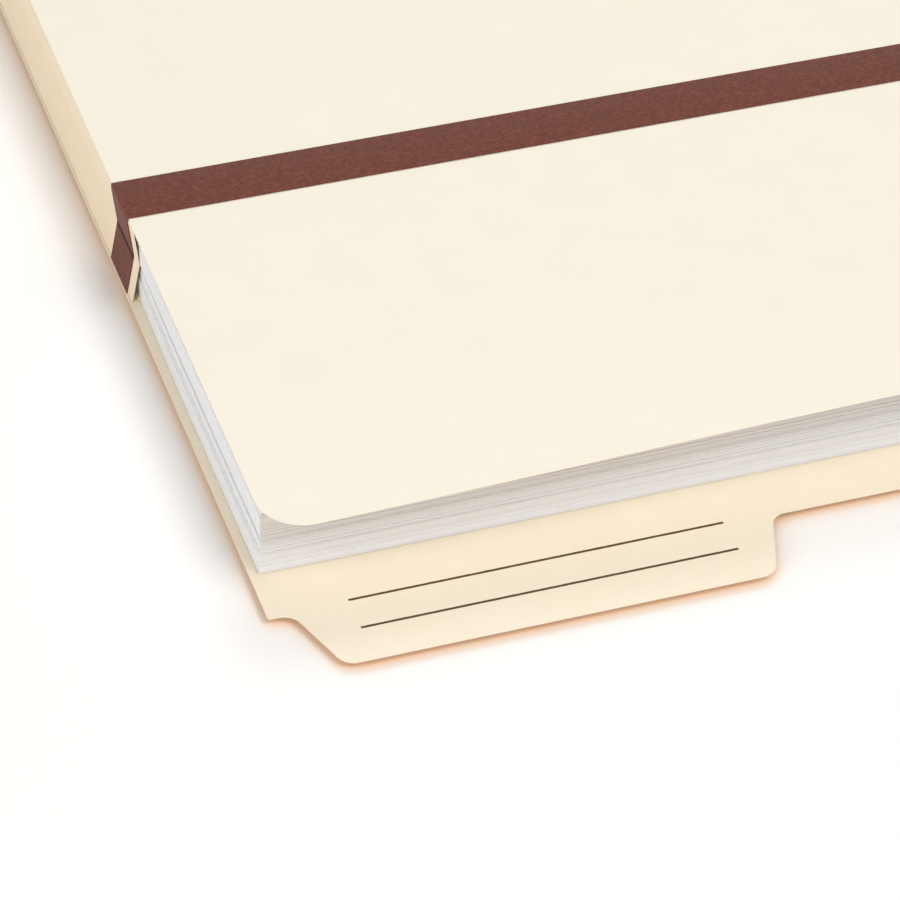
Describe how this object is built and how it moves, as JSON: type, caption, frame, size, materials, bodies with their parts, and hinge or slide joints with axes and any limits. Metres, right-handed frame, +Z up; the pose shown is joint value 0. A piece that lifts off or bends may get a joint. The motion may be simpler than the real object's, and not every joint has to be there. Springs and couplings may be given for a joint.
{
  "type": "expanding file pocket",
  "caption": "Letter-size manila file pocket: tabbed back panel, pleated gussets that open and fold, brown cloth tape across the front, and a drop front over the paper inside.",
  "frame": {"origin": "centre of the bounding box, on the table under the back panel", "axes": "+X along the tab edge, -Y out of the mouth towards the tab, +Z up from the back panel to the front"},
  "size_m": [0.2986, 0.2464, 0.0192],
  "materials": {
    "manila_back": "smooth uncoated manila card",
    "manila_front": "smooth uncoated manila card",
    "manila_gusset": "smooth uncoated manila card, thinner than the panels",
    "brown_cloth_tape": "woven red-brown binding cloth",
    "white_paper": "plain white office paper"
  },
  "bodies": {
    "back": {"back_panel": "manila_back", "left_back_flange": "manila_gusset", "right_back_flange": "manila_gusset"},
    "left_gusset_lower": {"left_gusset_lower_half": "manila_gusset", "left_gusset_lower_tape": "brown_cloth_tape"},
    "left_gusset_upper": {"left_gusset_upper_half": "manila_gusset", "left_gusset_upper_tape": "brown_cloth_tape"},
    "front": {"front_panel": "manila_front", "left_front_flange": "manila_gusset", "right_front_flange": "manila_gusset", "front_tape": "brown_cloth_tape"},
    "drop_front_flap": {"drop_front": "manila_front"},
    "right_gusset_lower": {"right_gusset_lower_half": "manila_gusset", "right_gusset_lower_tape": "brown_cloth_tape"},
    "right_gusset_upper": {"right_gusset_upper_half": "manila_gusset", "right_gusset_upper_tape": "brown_cloth_tape"},
    "bottom_lower": {"bottom_lower_half": "manila_gusset"},
    "bottom_upper": {"bottom_upper_half": "manila_gusset"},
    "papers": {"paper_bundle_1": "white_paper", "paper_bundle_2": "white_paper", "paper_bundle_3": "white_paper", "paper_bundle_4": "white_paper"}
  },
  "joints": [
    {"name": "expand", "type": "hinge", "parent": "back", "child": "bottom_lower", "pos_m": [0, 0.12224, 0.00085], "axis": [-1, 0, 0], "range_deg": [0, 80], "deforming": ["paper_bundle_1", "paper_bundle_2", "paper_bundle_3", "paper_bundle_4"]},
    {"name": "bottom_fold", "type": "hinge", "parent": "bottom_lower", "child": "bottom_upper", "pos_m": [0, 0.1226, 0.00947], "axis": [-1, 0, 0], "range_deg": [-160, 0]},
    {"name": "front_crease", "type": "hinge", "parent": "bottom_upper", "child": "front", "pos_m": [0, 0.12224, 0.01808], "axis": [-1, 0, 0], "range_deg": [0, 80]},
    {"name": "drop_front_crease", "type": "hinge", "parent": "front", "child": "drop_front_flap", "pos_m": [0, -0.00526, 0.01923], "axis": [-1, 0, 0], "range_deg": [0, 175]},
    {"name": "left_gusset_crease", "type": "hinge", "parent": "back", "child": "left_gusset_lower", "pos_m": [-0.14785, 0.05644, 0.00085], "axis": [0, 1, 0], "range_deg": [0, 80]},
    {"name": "left_gusset_fold", "type": "hinge", "parent": "left_gusset_lower", "child": "left_gusset_upper", "pos_m": [-0.14749, 0.05644, 0.00947], "axis": [0, 1, 0], "range_deg": [-160, 0]},
    {"name": "right_gusset_crease", "type": "hinge", "parent": "back", "child": "right_gusset_lower", "pos_m": [0.14785, 0.05644, 0.00085], "axis": [0, -1, 0], "range_deg": [0, 80]},
    {"name": "right_gusset_fold", "type": "hinge", "parent": "right_gusset_lower", "child": "right_gusset_upper", "pos_m": [0.14749, 0.05644, 0.00947], "axis": [0, -1, 0], "range_deg": [-160, 0]},
    {"name": "paper_slide", "type": "slide", "parent": "back", "child": "papers", "axis": [0, -1, 0], "range_m": [0, 0.235]}
  ],
  "couplings": [
    {"joint": "bottom_fold", "follows": "expand", "ratio": -2},
    {"joint": "front_crease", "follows": "expand", "ratio": 1},
    {"joint": "left_gusset_crease", "follows": "expand", "ratio": 1},
    {"joint": "left_gusset_fold", "follows": "expand", "ratio": -2},
    {"joint": "right_gusset_crease", "follows": "expand", "ratio": 1},
    {"joint": "right_gusset_fold", "follows": "expand", "ratio": -2}
  ]
}
